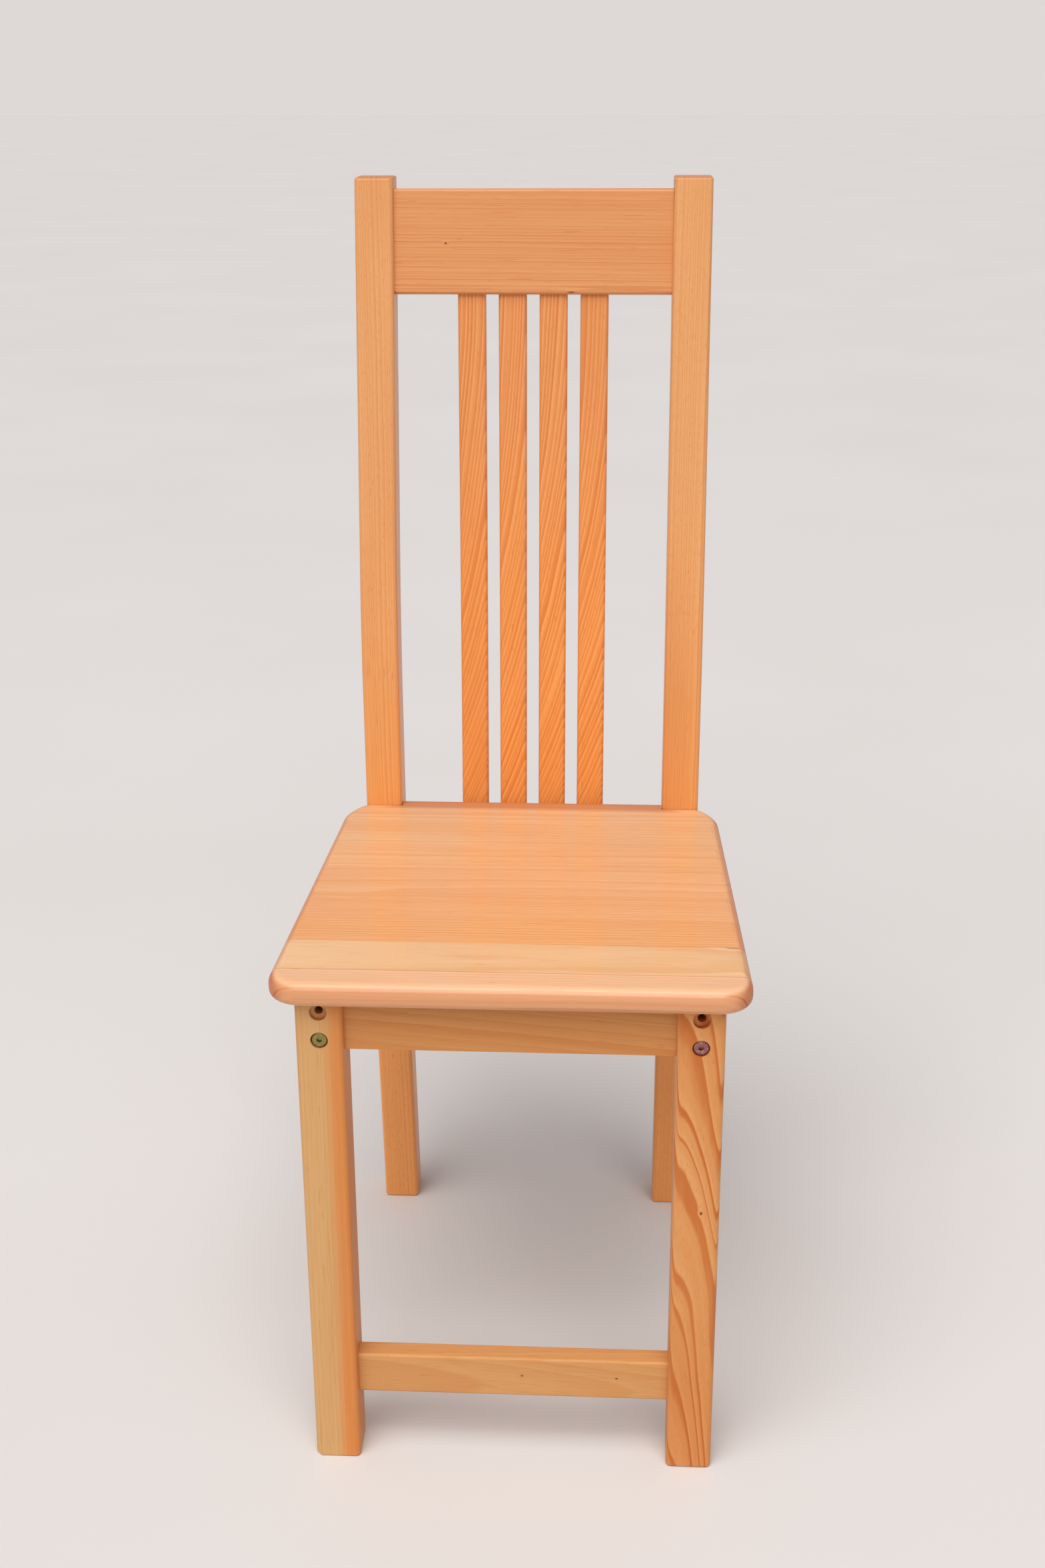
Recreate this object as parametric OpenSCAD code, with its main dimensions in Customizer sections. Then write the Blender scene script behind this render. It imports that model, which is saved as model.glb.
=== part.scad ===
// Pine dining chair: a bolted seat frame on two square front legs and two bent rear posts,
// a seat glued up from staves, and a back of four slats under a top rail.
// Right is +X seen from the front, +Y points to the back, +Z is up.
// The origin is on the floor, in the middle of the chair's overall box.

/* [Overall] */
// Height of the seat top above the floor
seat_h = 460; // [420:1:500]
// Height of the rear posts above the floor
post_h = 1026; // [940:1:1100]
// Width over the two front legs
front_w = 338; // [300:1:420]
// Width over the two rear posts
rear_w = 314; // [290:1:400]
// Front face of the front legs to the front face of the rear posts, at the seat frame
frame_d = 362; // [300:1:440]

/* [Front legs] */
// Side of the square front leg
leg_size = 38; // [34:1:46]

/* [Rear posts] */
// Width of a rear post, seen from the front
post_w = 34; // [32:1:42]
// Depth of a rear post, seen from the side
post_t = 35; // [34:1:44]
// Height of the lower bend
low_bend_h = 340; // [280:1:342]
// Height of the upper bend
high_bend_h = 630; // [560:1:700]
// How far the foot stands behind the straight middle of the post
foot_rake = 41.5; // [20:0.5:60]
// How far the top leans behind the straight middle of the post
top_lean = 60; // [30:0.5:90]
// Radius of the hollow side of both bends
bend_r = 800; // [400:10:800]

/* [Seat] */
// Thickness of the seat
seat_t = 20; // [18:0.5:26]
// How far the seat stands out in front of the front legs
seat_front = 15; // [8:0.5:30]
// How far the seat stands out beside the front legs
seat_side_front = 21.5; // [12:0.5:30]
// How far the seat stands out beside the rear posts
seat_side_rear = 16.5; // [12:0.5:30]
// Corner radius of the seat at the front
seat_r_front = 28; // [20:1:40]
// Corner radius of the seat at the back
seat_r_rear = 46; // [36:1:50]
// Room between the seat and a post or a slat
seat_gap = 0.6; // [0.2:0.1:2]

/* [Seat frame] */
// Height of the four aprons
apron_h = 47; // [44:1:60]
// Thickness of the four aprons
apron_t = 20; // [18:0.5:20]
// How far the front apron sits behind the faces of the legs
apron_recess = 8; // [6:0.5:12]
// How far the rear apron sits behind the front faces of the posts
rear_apron_recess = 15; // [13:0.5:15]
// Height of the underside of the front stretcher
stretcher_z = 61; // [40:1:160]
// Height of the front stretcher
stretcher_h = 38; // [32:1:50]
// Thickness of the front stretcher
stretcher_t = 19; // [16:0.5:22]
// How far the stretcher sits behind the faces of the legs
stretcher_recess = 10; // [6:0.5:12]

/* [Back] */
// Height of the top rail
rail_h = 90; // [70:1:110]
// Thickness of the top rail
rail_t = 22; // [18:0.5:24]
// How far the rail sits behind the front faces of the posts
rail_recess = 6; // [3:0.5:8]
// Level of the rail's top below the tops of the posts
rail_drop = 8; // [4:0.5:20]
// Width of a slat
slat_w = 25; // [20:0.5:30]
// Thickness of a slat
slat_t = 12; // [10:0.5:14]
// Distance from one slat to the next, middle to middle
slat_pitch = 36.4; // [34:0.1:48]

/* [Joinery] */
// Thickness of the tenons on the rail, the stretcher and the aprons
tenon_t = 10; // [8:0.5:12]
// Width of the shoulder above and below a tenon
shoulder = 6; // [4:0.5:8]
// Length of the tenons on the stretcher and the top rail
long_tenon = 20; // [14:0.5:24]
// Length of the tenons on the front and rear aprons, short of the bolts
short_tenon = 11; // [8:0.5:11]
// Thickness of the tenons on the slats
slat_tenon_t = 8; // [6:0.5:9]
// Width of the shoulders beside the tenon of a slat
slat_shoulder = 3; // [2:0.5:4]
// Length of the tenons on the slats
slat_tenon = 15; // [10:0.5:20]
// Room beside a tenon in its mortise
tenon_fit = 0.1; // [0.05:0.05:0.3]
// Room past the end of a tenon, a dowel or a nut
end_gap = 0.5; // [0.3:0.1:1]

/* [Hardware] */
// Diameter of the bolts
bolt_d = 6; // [5:0.5:6]
// Diameter of the bolt holes in the legs and posts
bolt_hole_d = 7; // [6.5:0.1:7.5]
// Diameter of the bolt holes in the side aprons
apron_hole_d = 8; // [7.6:0.1:9]
// Distance of each bolt hole from the nearer edge of the apron
bolt_edge = 11.2; // [10:0.1:12]
// Diameter of a bolt head
head_d = 13; // [11:0.5:13.5]
// Thickness of a bolt head
head_t = 3.6; // [2.5:0.1:4]
// Diameter of the counterbore round a bolt head
counterbore_d = 14; // [13.8:0.1:15]
// Depth of the counterbore round a bolt head
counterbore_t = 4.5; // [4:0.1:6]
// Width across the flats of the hexagon socket in a bolt head
socket_af = 4; // [3:0.5:5]
// Depth of the hexagon socket in a bolt head
socket_t = 2.4; // [1.5:0.1:2.5]
// Diameter of a barrel nut
nut_d = 10; // [9:0.5:12]
// Length of a barrel nut
nut_len = 14; // [12:0.5:14]
// Middle of a barrel nut from the end of its apron
nut_set = 35; // [28:1:40]
// Length of bolt that stands out past the middle of its nut
bolt_past = 8; // [6:0.5:10]
// Room round a bolt, a nut, a dowel or a screw where it fits closely
close_fit = 0.05; // [0.02:0.01:0.1]
// Width and depth of the turning slot in the end of a barrel nut
nut_slot = 1.2; // [0.8:0.1:1.5]
// Diameter of a dowel
dowel_d = 8; // [6:0.5:8]
// Length of dowel in a post and in an apron
dowel_half = 15; // [12:0.5:16]
// Diameter of the seat screws
screw_d = 4.4; // [3.5:0.1:5]
// Diameter of a seat screw's head
screw_head_d = 8.4; // [7:0.1:9]
// Thickness of a seat screw's head
screw_head_t = 3; // [2:0.1:3.5]
// Depth of the hole that takes the head of a seat screw
screw_sink = 14; // [12:0.5:20]
// Depth of thread in the seat
screw_bite = 12; // [9:0.5:14]
// Distance of the front seat screws from the middle of the chair
screw_x = 70; // [40:1:90]

/* [Hidden] */
$fn = 64;

// Lacquered pine in the tones of the pieces, and yellow-passivated steel
leg_tone = "#D9A86E";
post_tone = "#E8A56E";
rail_tone = "#E89B5F";
slat_tone = "#EB9150";
apron_tone = "#D08A52";
seat_tones = ["#F5C391", "#F3C793", "#F2AC74", "#F2AE78", "#F1B27F", "#F3B487", "#F2B07C", "#F3B487"];
steel_tone = "#C9B45A";
dowel_tone = "#DDBB88";

over = 1;                      // overrun of a cut past a face
slat_count = 4;
stave_parts = [29, 52, 47, 47, 55, 53, 56, 56];   // relative widths of the seat's staves, front first
screwed_staves = [3, 6];       // staves that the side aprons' screws go into, counted from 0
bend_steps = 10;               // flats in each bend

leg_h = seat_h - seat_t;
apron_z = leg_h - apron_h;
bolt_z = apron_z + bolt_edge;
spare_z = leg_h - bolt_edge;
leg_in = front_w / 2 - leg_size;
leg_cx = front_w / 2 - leg_size / 2;
post_in = rear_w / 2 - post_w;
post_cx = rear_w / 2 - post_w / 2;

low_a = atan(foot_rake / low_bend_h);
high_a = atan(top_lean / (post_h - high_bend_h));
overall_d = seat_front + frame_d + max(foot_rake + post_t / cos(low_a), top_lean + post_t / cos(high_a));
leg_y = seat_front - overall_d / 2;

rail_z = post_h - rail_drop - rail_h * cos(high_a);
rail_face_y = frame_d + (rail_z - high_bend_h) * tan(high_a);
rail_mid = rail_recess + rail_t / 2;

slat_foot_y = frame_d + rear_apron_recess + apron_t / 2;
slat_top_y = rail_face_y + rail_mid * cos(high_a);
slat_top_z = rail_z - rail_mid * sin(high_a);
slat_a = atan2(slat_top_y - slat_foot_y, slat_top_z - leg_h);
slat_len = norm([slat_top_y - slat_foot_y, slat_top_z - leg_h]);

seat_rear_y = slat_foot_y - slat_t / 2 - seat_gap;
seat_d = seat_front + seat_rear_y;
half_front = front_w / 2 + seat_side_front;
half_rear = rear_w / 2 + seat_side_rear;
side_a = atan((half_front - half_rear) / seat_d);

screw_seat_z = apron_z + screw_sink;
screw_len = apron_h - screw_sink + screw_bite;

function half_width(y) = half_front - (y + seat_front) * tan(side_a);
function part_sum(list, n) = n == 0 ? 0 : list[n - 1] + part_sum(list, n - 1);
function hundredth(v) = round(v * 100) / 100;
function stave_y(n) =
    hundredth(seat_d * part_sum(stave_parts, n) / part_sum(stave_parts, len(stave_parts)) - seat_front);
function stave_mid(n) = (stave_y(n) + stave_y(n + 1)) / 2;
function apron_x(y) = leg_cx + (post_cx - leg_cx) * (y - leg_size) / (frame_d - leg_size);
function bolt_len(thick) = thick - counterbore_t + nut_set + bolt_past;
function slat_x(n) = (n - (slat_count - 1) / 2) * slat_pitch;
function screw_spots() = concat(
    [for (s = [-1, 1]) [s * screw_x, apron_recess + apron_t / 2]],
    [for (s = [-1, 1], n = screwed_staves) [s * apron_x(stave_mid(n)), stave_mid(n)]]
);

// Stands a piece drawn from the front face of the legs in the chair's own frame
module placed() {
    translate([0, leg_y, 0]) children();
}

// Draws a right-hand piece on the side asked for, -1 left or 1 right
module on_side(side) {
    mirror([side < 0 ? 1 : 0, 0, 0]) children();
}

// A straight bar between two heights along X, centred on x = 0
module bar(half, y0, thick, z0, high) {
    translate([-half, y0, z0]) cube([2 * half, thick, high]);
}

// A cylinder that starts at a point and runs along +Y, or along -Y where back is set
module along_y(x, y, z, d, length, back = false) {
    translate([x, y, z]) rotate([back ? 90 : -90, 0, 0]) cylinder(d = d, h = length);
}

// ---------- bolt holes ----------

// Bolt hole and counterbore in a leg or post, entered at y0 and running back or, from the back, forward
module bolt_hole(x, y0, z, thick, back) {
    step = back ? over : -over;
    along_y(x, y0 + step, z, counterbore_d, counterbore_t + over, back);
    along_y(x, y0 + step, z, bolt_hole_d, thick + 2 * over, back);
}

// Bolt hole with its cross hole for a barrel nut, in the end of a side apron
module nut_hole(x, y0, z, back) {
    dir = back ? -1 : 1;
    along_y(x, y0 - dir * over, z, apron_hole_d, nut_set + bolt_past + end_gap + over, back);
    translate([x - apron_t, y0 + dir * nut_set, z])
        rotate([0, 90, 0])
            cylinder(d = nut_d + 2 * close_fit, h = apron_t + nut_len / 2 + end_gap);
}

// ---------- front legs ----------

module front_leg(side) {
    color(leg_tone) placed() on_side(side) difference() {
        translate([leg_in, 0, 0]) cube([leg_size, leg_size, leg_h]);
        front_apron_bar(tenon_fit, end_gap);
        stretcher_bar(tenon_fit, end_gap);
        bolt_hole(leg_cx, 0, bolt_z, leg_size, false);
        bolt_hole(leg_cx, 0, spare_z, leg_size, false);
    }
}

// ---------- rear posts ----------

// Points of one bend, as [y, z]; dir is -1 for the lower bend and 1 for the upper one,
// and from and to say which end comes first, 0 the straight middle or 1 the sloping end
function bend(angle, height, radius, dir, from, to) =
    let (
        hub_y = post_t + bend_r,
        hub_z = height - dir * hub_y * tan(angle / 2)
    )
    [for (i = [0:bend_steps])
        let (turn = angle * (from + (to - from) * i / bend_steps))
        [hub_y - radius * cos(turn), hub_z + dir * radius * sin(turn)]];

module post_outline() {
    polygon(concat(
        [[foot_rake, 0]],
        bend(low_a, low_bend_h, bend_r + post_t, -1, 1, 0),
        bend(high_a, high_bend_h, bend_r + post_t, 1, 0, 1),
        [[top_lean, post_h], [top_lean + post_t / cos(high_a), post_h]],
        bend(high_a, high_bend_h, bend_r, 1, 1, 0),
        bend(low_a, low_bend_h, bend_r, -1, 0, 1),
        [[foot_rake + post_t / cos(low_a), 0]]
    ));
}

module rear_post(side) {
    color(post_tone) placed() on_side(side) difference() {
        translate([post_in, frame_d, 0])
            rotate([90, 0, 90])
                linear_extrude(post_w) post_outline();
        rear_apron_bar(tenon_fit, end_gap);
        rail_bar(tenon_fit, end_gap);
        bolt_hole(post_cx, frame_d + post_t, bolt_z, post_t, true);
        along_y(post_cx, frame_d - over, spare_z, dowel_d + 2 * close_fit, dowel_half + end_gap + over);
    }
}

// ---------- aprons and stretcher ----------

// Front apron with its tenons; grow widens the tenons and past lengthens them, for the mortises
module front_apron_bar(grow = 0, past = 0) {
    if (grow == 0) bar(leg_in, apron_recess, apron_t, apron_z, apron_h);
    bar(leg_in + short_tenon + past, apron_recess + (apron_t - tenon_t) / 2 - grow, tenon_t + 2 * grow,
        apron_z + shoulder - grow, apron_h - 2 * shoulder + 2 * grow);
}

module front_apron() {
    color(apron_tone) placed() difference() {
        front_apron_bar();
        screw_holes();
    }
}

module rear_apron_bar(grow = 0, past = 0) {
    back = frame_d + rear_apron_recess;
    if (grow == 0) bar(post_in, back, apron_t, apron_z, apron_h);
    bar(post_in + short_tenon + past, back + (apron_t - tenon_t) / 2 - grow, tenon_t + 2 * grow,
        apron_z + shoulder - grow, apron_h - 2 * shoulder + 2 * grow);
}

module rear_apron() {
    color(apron_tone) placed() difference() {
        rear_apron_bar();
        for (n = [0:slat_count - 1]) slat_tenons(n, tenon_fit, end_gap);
    }
}

module stretcher_bar(grow = 0, past = 0) {
    if (grow == 0) bar(leg_in, stretcher_recess, stretcher_t, stretcher_z, stretcher_h);
    bar(leg_in + long_tenon + past, stretcher_recess + (stretcher_t - tenon_t) / 2 - grow,
        tenon_t + 2 * grow, stretcher_z + shoulder - grow, stretcher_h - 2 * shoulder + 2 * grow);
}

module front_stretcher() {
    color(apron_tone) placed() stretcher_bar();
}

// Side apron, which runs in towards the back and is cut square to the legs and posts
module side_apron(side) {
    half = apron_t / 2 / cos(atan((leg_cx - post_cx) / (frame_d - leg_size)));
    color(apron_tone) placed() on_side(side) difference() {
        translate([0, 0, apron_z]) linear_extrude(apron_h) polygon([
            [leg_cx - half, leg_size], [leg_cx + half, leg_size],
            [post_cx + half, frame_d], [post_cx - half, frame_d]
        ]);
        nut_hole(leg_cx, leg_size, bolt_z, false);
        nut_hole(leg_cx, leg_size, spare_z, false);
        nut_hole(post_cx, frame_d, bolt_z, true);
        along_y(post_cx, frame_d + over, spare_z, dowel_d + 2 * close_fit, dowel_half + end_gap + over, true);
        screw_holes();
    }
}

// ---------- back ----------

// Frame of the top rail: its bottom edge on the leaning front faces of the posts
module at_rail() {
    translate([0, rail_face_y, rail_z]) rotate([-high_a, 0, 0]) children();
}

module rail_bar(grow = 0, past = 0) {
    at_rail() {
        if (grow == 0) bar(post_in, rail_recess, rail_t, 0, rail_h);
        bar(post_in + long_tenon + past, rail_mid - tenon_t / 2 - grow, tenon_t + 2 * grow,
            2 * shoulder - grow, rail_h - 4 * shoulder + 2 * grow);
    }
}

module top_rail() {
    color(rail_tone) placed() difference() {
        rail_bar();
        for (n = [0:slat_count - 1]) slat_tenons(n, tenon_fit, end_gap);
    }
}

// Frame of slat n: the middle of its foot on the rear apron
module at_slat(n) {
    translate([slat_x(n), slat_foot_y, leg_h]) rotate([-slat_a, 0, 0]) children();
}

module slat_tenons(n, grow = 0, past = 0) {
    at_slat(n) bar(slat_w / 2 - slat_shoulder + grow, -slat_tenon_t / 2 - grow, slat_tenon_t + 2 * grow,
        -slat_tenon - past, slat_len + 2 * slat_tenon + 2 * past);
}

module slat(n) {
    color(slat_tone) placed() {
        difference() {
            at_slat(n) bar(slat_w / 2, -slat_t / 2, slat_t, -slat_t, slat_len + 2 * slat_t);
            bar(rear_w, frame_d - post_t, 3 * post_t, apron_z, apron_h);
            at_rail() bar(rear_w, -post_t, 3 * post_t, 0, rail_h);
        }
        slat_tenons(n);
    }
}

// ---------- seat ----------

// Right half corner of the seat outline: y of the edge, radius, and -1 front or 1 back
module seat_corner(edge_y, radius, dir) {
    hub_y = edge_y - dir * radius;
    translate([half_width(hub_y) - radius / cos(side_a), hub_y]) circle(r = radius);
}

function corner_points(edge_y, radius, dir) =
    let (
        hub_y = edge_y - dir * radius,
        hub_x = half_width(hub_y) - radius / cos(side_a)
    )
    [[hub_x, edge_y], [hub_x + radius * cos(side_a), hub_y + radius * sin(side_a)]];

module seat_outline() {
    front = corner_points(-seat_front, seat_r_front, -1);
    rear = corner_points(seat_rear_y, seat_r_rear, 1);
    for (side = [-1, 1]) on_side(side) {
        polygon([[0, -seat_front], front[0], front[1], rear[1], rear[0], [0, seat_rear_y]]);
        seat_corner(-seat_front, seat_r_front, -1);
        seat_corner(seat_rear_y, seat_r_rear, 1);
    }
}

// Stave n of the seat, counted from 0 at the front
module seat_board(n) {
    color(seat_tones[n]) placed() difference() {
        intersection() {
            translate([0, 0, leg_h]) linear_extrude(seat_t) seat_outline();
            translate([-front_w, stave_y(n), leg_h - over])
                cube([2 * front_w, stave_y(n + 1) - stave_y(n), seat_t + 2 * over]);
        }
        for (side = [-1, 1]) on_side(side)
            translate([post_in - seat_gap, frame_d - seat_gap, leg_h - over])
                cube([post_w + 2 * seat_gap, 2 * post_t, seat_t + 2 * over]);
        screw_holes();
    }
}

// ---------- hardware ----------

// Bolt with its head's seat at y0, running along +Y or, where back is set, along -Y
module bolt(x, y0, z, length, back) {
    dir = back ? -1 : 1;
    difference() {
        union() {
            along_y(x, y0 - dir * head_t, z, head_d, head_t, back);
            along_y(x, y0 - dir * over, z, bolt_d, length + over, back);
        }
        translate([x, y0 - dir * (head_t + over), z])
            rotate([back ? 90 : -90, 0, 0])
                cylinder(d = socket_af / cos(30), h = socket_t + over, $fn = 6);
    }
}

module front_bolts() {
    color(steel_tone) placed() for (side = [-1, 1])
        bolt(side * leg_cx, counterbore_t, bolt_z, bolt_len(leg_size), false);
}

module rear_bolts() {
    color(steel_tone) placed() for (side = [-1, 1])
        bolt(side * post_cx, frame_d + post_t - counterbore_t, bolt_z, bolt_len(post_t), true);
}

// Barrel nut with its threaded hole along Y and a turning slot in its inner end
module barrel_nut(x, y, z) {
    difference() {
        translate([x - nut_len / 2, y, z]) rotate([0, 90, 0]) cylinder(d = nut_d, h = nut_len);
        along_y(x, y - nut_d, z, bolt_d + 2 * close_fit, 2 * nut_d);
        translate([x - nut_len / 2 - over, y - nut_d, z - nut_slot / 2])
            cube([nut_slot + over, 2 * nut_d, nut_slot]);
    }
}

module barrel_nuts() {
    color(steel_tone) placed() for (side = [-1, 1]) on_side(side) {
        barrel_nut(leg_cx, leg_size + nut_set, bolt_z);
        barrel_nut(leg_cx, leg_size + nut_set, spare_z);
        barrel_nut(post_cx, frame_d - nut_set, bolt_z);
    }
}

module rear_dowels() {
    color(dowel_tone) placed() for (side = [-1, 1])
        along_y(side * post_cx, frame_d - dowel_half, spare_z, dowel_d, 2 * dowel_half);
}

// Stepped holes for the seat screws, from under the aprons into the seat
module screw_holes() {
    for (spot = screw_spots()) translate([spot[0], spot[1], 0]) {
        translate([0, 0, apron_z - over]) cylinder(d = screw_head_d + 2 * end_gap, h = screw_sink + over);
        translate([0, 0, apron_z]) cylinder(d = screw_d + 2 * close_fit, h = screw_sink + screw_len + end_gap);
    }
}

module seat_screws() {
    color(steel_tone) placed() for (spot = screw_spots()) translate([spot[0], spot[1], screw_seat_z]) {
        translate([0, 0, -screw_head_t]) cylinder(d = screw_head_d, h = screw_head_t);
        cylinder(d = screw_d, h = screw_len);
    }
}

front_leg(-1);  // front_leg_left
front_leg(1);  // front_leg_right
rear_post(-1);  // rear_post_left
rear_post(1);  // rear_post_right
front_apron();
rear_apron();
side_apron(-1);  // side_apron_left
side_apron(1);  // side_apron_right
front_stretcher();
top_rail();
slat(0);  // slat_1
slat(1);  // slat_2
slat(2);  // slat_3
slat(3);  // slat_4
seat_board(0);  // seat_board_1
seat_board(1);  // seat_board_2
seat_board(2);  // seat_board_3
seat_board(3);  // seat_board_4
seat_board(4);  // seat_board_5
seat_board(5);  // seat_board_6
seat_board(6);  // seat_board_7
seat_board(7);  // seat_board_8
front_bolts();
rear_bolts();
barrel_nuts();
rear_dowels();
seat_screws();
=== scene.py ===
# %% [markdown]
# # A lacquered pine dining chair
# The chair is an assembly of timber pieces with real joints. The packed model gives every piece its
# place and size, and this lesson gives each one its rounded edges, its grain and its lacquer.
# We start by loading that model. Nothing in it is ever moved: new pieces are shaped around it.

# %% Load the frame
import math

import bmesh
import bpy
from mathutils import Matrix, Vector


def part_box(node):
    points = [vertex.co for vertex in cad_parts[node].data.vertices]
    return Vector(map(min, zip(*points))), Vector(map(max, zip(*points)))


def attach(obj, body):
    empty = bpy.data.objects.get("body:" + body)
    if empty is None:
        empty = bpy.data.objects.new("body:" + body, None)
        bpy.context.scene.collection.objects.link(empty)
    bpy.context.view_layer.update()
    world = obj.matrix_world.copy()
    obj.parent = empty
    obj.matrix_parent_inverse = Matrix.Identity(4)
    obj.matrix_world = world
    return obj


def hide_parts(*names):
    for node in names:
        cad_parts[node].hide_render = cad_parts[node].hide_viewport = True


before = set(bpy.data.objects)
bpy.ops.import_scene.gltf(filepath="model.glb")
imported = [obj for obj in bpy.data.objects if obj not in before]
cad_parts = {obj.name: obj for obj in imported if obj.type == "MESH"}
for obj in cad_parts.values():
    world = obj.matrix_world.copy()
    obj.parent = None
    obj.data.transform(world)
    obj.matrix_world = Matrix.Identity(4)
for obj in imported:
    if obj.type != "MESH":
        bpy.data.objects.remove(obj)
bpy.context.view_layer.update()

MM = 0.001
X, Y, Z = Vector((1, 0, 0)), Vector((0, 1, 0)), Vector((0, 0, 1))

# %% [markdown]
# ## The camera
# A portrait lens at standing height, a little to the right of the chair and looking down at the seat.
# A camera could be aimed with a Track To constraint, but three plain turns say the same thing in
# numbers that can be read: heading, tilt and a trace of roll, in degrees, with the place in metres.
# A camera looks along its own -Z, so it is first tipped up by 90.

# %% Place the camera
CAMERA_PLACE = (0.0851, -1.5660, 1.1419)
CAMERA_HEADING, CAMERA_TILT, CAMERA_ROLL = 3.135, 21.064, -0.278
CAMERA_LENS, SENSOR_WIDTH = 44.64, 36

camera = bpy.data.objects.new("camera", bpy.data.cameras.new("camera"))
camera.data.lens = CAMERA_LENS
camera.data.sensor_width = SENSOR_WIDTH
camera.matrix_world = (
    Matrix.Translation(CAMERA_PLACE)
    @ Matrix.Rotation(math.radians(CAMERA_HEADING), 4, "Z")
    @ Matrix.Rotation(math.radians(90 - CAMERA_TILT), 4, "X")
    @ Matrix.Rotation(math.radians(CAMERA_ROLL), 4, "Z")
)
bpy.context.scene.collection.objects.link(camera)
bpy.context.scene.camera = camera
print("camera at", CAMERA_PLACE, "lens", CAMERA_LENS)

# %% [markdown]
# ## Shader maths as plain Python
# Wood is a solid pattern: rings round the middle of the log, cut by the faces of the board. That takes
# a fair amount of shader maths. It could be drawn as a web of Math nodes, but a web is hard to read, so
# one small class wraps a socket and lets it be added and multiplied like a number.

# %% A socket that can be added and multiplied
class Wire:
    """One output of a shader node."""

    def __init__(self, nodes, socket):
        self.nodes, self.socket = nodes, socket

    def __add__(self, other):
        return self.nodes.maths("ADD", self, other)

    def __sub__(self, other):
        return self.nodes.maths("SUBTRACT", self, other)

    def __rsub__(self, other):
        return self.nodes.maths("SUBTRACT", other, self)

    def __mul__(self, other):
        return self.nodes.maths("MULTIPLY", self, other)

    def __truediv__(self, other):
        return self.nodes.maths("DIVIDE", self, other)

    def __rtruediv__(self, other):
        return self.nodes.maths("DIVIDE", other, self)

    def __pow__(self, other):
        return self.nodes.maths("POWER", self, other)

    __radd__, __rmul__ = __add__, __mul__


print("a wire can be added, subtracted, multiplied, divided and raised to a power")

# %% [markdown]
# ## Nodes and finishes
# Every node, whatever its type, comes from one method, `add`: its settings are made first, then its
# sockets are fed with wires or plain values. The few nodes that wood needs again and again have a short
# method of their own. A finish is one material: a Principled shader with what feeds it. What is the
# same all over, such as how smooth the lacquer is, is set on the shader itself.

# %% The node tree
class Nodes:
    """A node tree and the ways to add to it."""

    def __init__(self, tree):
        self.tree = tree

    def socket(self, sockets, key):
        """A socket by number, by identifier or by name."""
        if isinstance(key, int):
            return sockets[key]
        return next(s for s in sockets if key in (s.identifier, s.name))

    def add(self, kind, settings=None, values=None, output=0):
        """A new node: its settings first, then the values or wires of its sockets."""
        node = self.tree.nodes.new(kind)
        for key, value in (settings or {}).items():
            setattr(node, key, value)
        for key, value in (values or {}).items():
            self.feed(self.socket(node.inputs, key), value)
        return Wire(self, self.socket(node.outputs, output))

    def feed(self, socket, value):
        """Links a wire to a socket, or sets the socket to a plain value."""
        if isinstance(value, Wire):
            self.tree.links.new(value.socket, socket)
        else:
            socket.default_value = value

    def maths(self, operation, *values):
        return self.add("ShaderNodeMath", {"operation": operation}, dict(enumerate(values)))

    def vector(self, operation, *values, output=0):
        return self.add("ShaderNodeVectorMath", {"operation": operation}, dict(enumerate(values)), output)

    def axis(self, place, name):
        """One coordinate of a place: X, Y or Z."""
        return self.add("ShaderNodeSeparateXYZ", None, {"Vector": place}, name)

    def mix(self, one, two, factor):
        """The colour one turned into the colour two by factor."""
        values = {"A_Color": one, "B_Color": two, "Factor_Float": factor}
        return self.add("ShaderNodeMix", {"data_type": "RGBA"}, values, "Result_Color")

    def step(self, value, low, high):
        """0 below low, 1 above high, and smooth between them."""
        values = {"Value": value, "From Min": low, "From Max": high}
        return self.add("ShaderNodeMapRange", {"interpolation_type": "SMOOTHSTEP"}, values)

    def noise(self, place, stretch, detail=1.0, output=0):
        """Noise whose frequency per metre is given along each axis."""
        values = {"Vector": self.vector("MULTIPLY", place, stretch), "Scale": 1.0, "Detail": detail}
        return self.add("ShaderNodeTexNoise", None, values, output)


print("ways to add a node:", [name for name in vars(Nodes) if not name.startswith("_")])

# %% The finish
class Finish(Nodes):
    """One material and its shader."""

    def __init__(self, name, **constants):
        self.material = bpy.data.materials.new(name)
        self.material.use_nodes = True
        super().__init__(self.material.node_tree)
        self.shader = self.tree.nodes["Principled BSDF"]
        for key, value in constants.items():
            self.inlet(key).default_value = value

    def inlet(self, name):
        """One of the shader's sockets, such as coat_ior for Coat IOR."""
        return self.shader.inputs[name.replace("_", " ").title().replace("Ior", "IOR")]

    def wear(self, **wires):
        """Feeds the shader's sockets and gives back the material."""
        for name, wire in wires.items():
            self.feed(self.inlet(name), wire)
        return self.material


def linear(code, strength=1.0):
    """The linear colour of a hex code such as "#F3B487"."""
    parts = [int(code[i:i + 2], 16) / 255 for i in (1, 3, 5)]
    return [strength * (c / 12.92 if c < 0.04045 else ((c + 0.055) / 1.055) ** 2.4) for c in parts] + [1.0]


print("half grey in linear light:", round(linear("#808080")[0], 3))

# %% [markdown]
# ## The studio
# A pale world all round, a far light with a very soft edge like a wide window, high in front and a
# little to the left, and a long narrow strip above the front. The strip adds little light, but lacquer
# mirrors it as a bright line along every rounded edge. One bright world alone would be simpler, but it
# would wash the shadows out, so the world casts less light than it shows. The colours are shown as they
# are, without a film curve, so that the orange of the wood stays full.

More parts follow.
